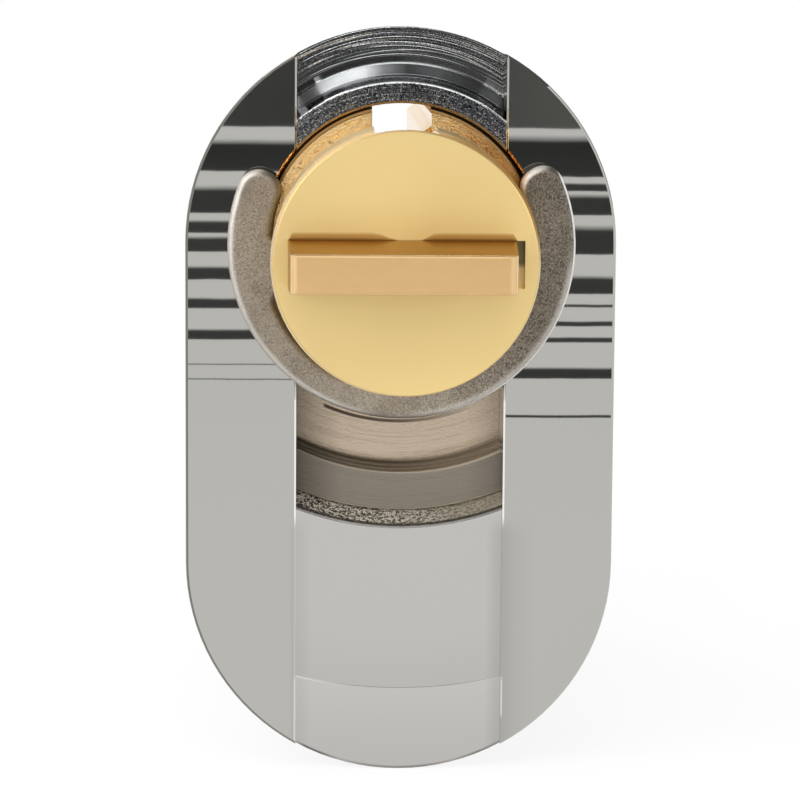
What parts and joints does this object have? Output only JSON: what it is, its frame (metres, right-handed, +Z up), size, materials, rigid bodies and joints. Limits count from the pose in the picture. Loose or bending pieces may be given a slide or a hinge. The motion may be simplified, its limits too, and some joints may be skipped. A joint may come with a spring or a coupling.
{
  "type": "oval profile cylinder lock",
  "caption": "Chrome-plated oval profile lock cylinder with a brass pin tumbler plug, C-shaped retaining clip, round tail disc and flat drive bar.",
  "frame": {"origin": "on the plug's axis, in the plane of the body's rear face", "axes": "+Z up, from the pin chambers to the plug; +Y along the plug's axis to the front, where the key goes in; the tail points along -Y"},
  "size_m": [0.019, 0.0453, 0.0333],
  "materials": {
    "chrome_body": "bright chrome plate on brass",
    "brass_plug": "satin turned brass",
    "brass_tail": "satin, faced with fine turning lines",
    "brass_bar": "smooth drawn brass, end sheared",
    "clip_steel": "dull tumbled steel",
    "brass_pins": "bright turned brass",
    "nickel_pins": "bright turned nickel silver",
    "spring_wire": "drawn spring wire",
    "brass_caps": "dressed flush, satin brass"
  },
  "bodies": {
    "body": {"body": "chrome_body", "spring_1": "spring_wire", "spring_2": "spring_wire", "spring_3": "spring_wire", "spring_4": "spring_wire", "spring_5": "spring_wire", "chamber_cap_1": "brass_caps", "chamber_cap_2": "brass_caps", "chamber_cap_3": "brass_caps", "chamber_cap_4": "brass_caps", "chamber_cap_5": "brass_caps"},
    "plug": {"plug": "brass_plug", "tail_disc": "brass_tail", "drive_bar": "brass_bar", "retaining_clip": "clip_steel"},
    "key_pin_1": {"key_pin_1": "brass_pins"},
    "driver_pin_1": {"driver_pin_1": "nickel_pins"},
    "key_pin_2": {"key_pin_2": "brass_pins"},
    "driver_pin_2": {"driver_pin_2": "nickel_pins"},
    "key_pin_3": {"key_pin_3": "brass_pins"},
    "driver_pin_3": {"driver_pin_3": "nickel_pins"},
    "key_pin_4": {"key_pin_4": "brass_pins"},
    "driver_pin_4": {"driver_pin_4": "nickel_pins"},
    "key_pin_5": {"key_pin_5": "brass_pins"},
    "driver_pin_5": {"driver_pin_5": "nickel_pins"}
  },
  "joints": [
    {"name": "plug_turn", "type": "hinge", "parent": "body", "child": "plug", "pos_m": [0, 0, 0], "axis": [0, 1, 0], "continuous": true},
    {"name": "key_pin_1_lift", "type": "slide", "parent": "plug", "child": "key_pin_1", "axis": [0, 0, 1], "range_m": [0, 0.0025]},
    {"name": "driver_pin_1_press", "type": "slide", "parent": "body", "child": "driver_pin_1", "axis": [0, 0, -1], "range_m": [0, 0.0033], "stiffness_N_per_m": 150, "springref_m": -0.004, "deforming": ["spring_1"]},
    {"name": "key_pin_2_lift", "type": "slide", "parent": "plug", "child": "key_pin_2", "axis": [0, 0, 1], "range_m": [0, 0.0016]},
    {"name": "driver_pin_2_press", "type": "slide", "parent": "body", "child": "driver_pin_2", "axis": [0, 0, -1], "range_m": [0, 0.0033], "stiffness_N_per_m": 150, "springref_m": -0.004, "deforming": ["spring_2"]},
    {"name": "key_pin_3_lift", "type": "slide", "parent": "plug", "child": "key_pin_3", "axis": [0, 0, 1], "range_m": [0, 0.0029]},
    {"name": "driver_pin_3_press", "type": "slide", "parent": "body", "child": "driver_pin_3", "axis": [0, 0, -1], "range_m": [0, 0.0033], "stiffness_N_per_m": 150, "springref_m": -0.004, "deforming": ["spring_3"]},
    {"name": "key_pin_4_lift", "type": "slide", "parent": "plug", "child": "key_pin_4", "axis": [0, 0, 1], "range_m": [0, 0.002]},
    {"name": "driver_pin_4_press", "type": "slide", "parent": "body", "child": "driver_pin_4", "axis": [0, 0, -1], "range_m": [0, 0.0033], "stiffness_N_per_m": 150, "springref_m": -0.004, "deforming": ["spring_4"]},
    {"name": "key_pin_5_lift", "type": "slide", "parent": "plug", "child": "key_pin_5", "axis": [0, 0, 1], "range_m": [0, 0.0032]},
    {"name": "driver_pin_5_press", "type": "slide", "parent": "body", "child": "driver_pin_5", "axis": [0, 0, -1], "range_m": [0, 0.0033], "stiffness_N_per_m": 150, "springref_m": -0.004, "deforming": ["spring_5"]}
  ]
}
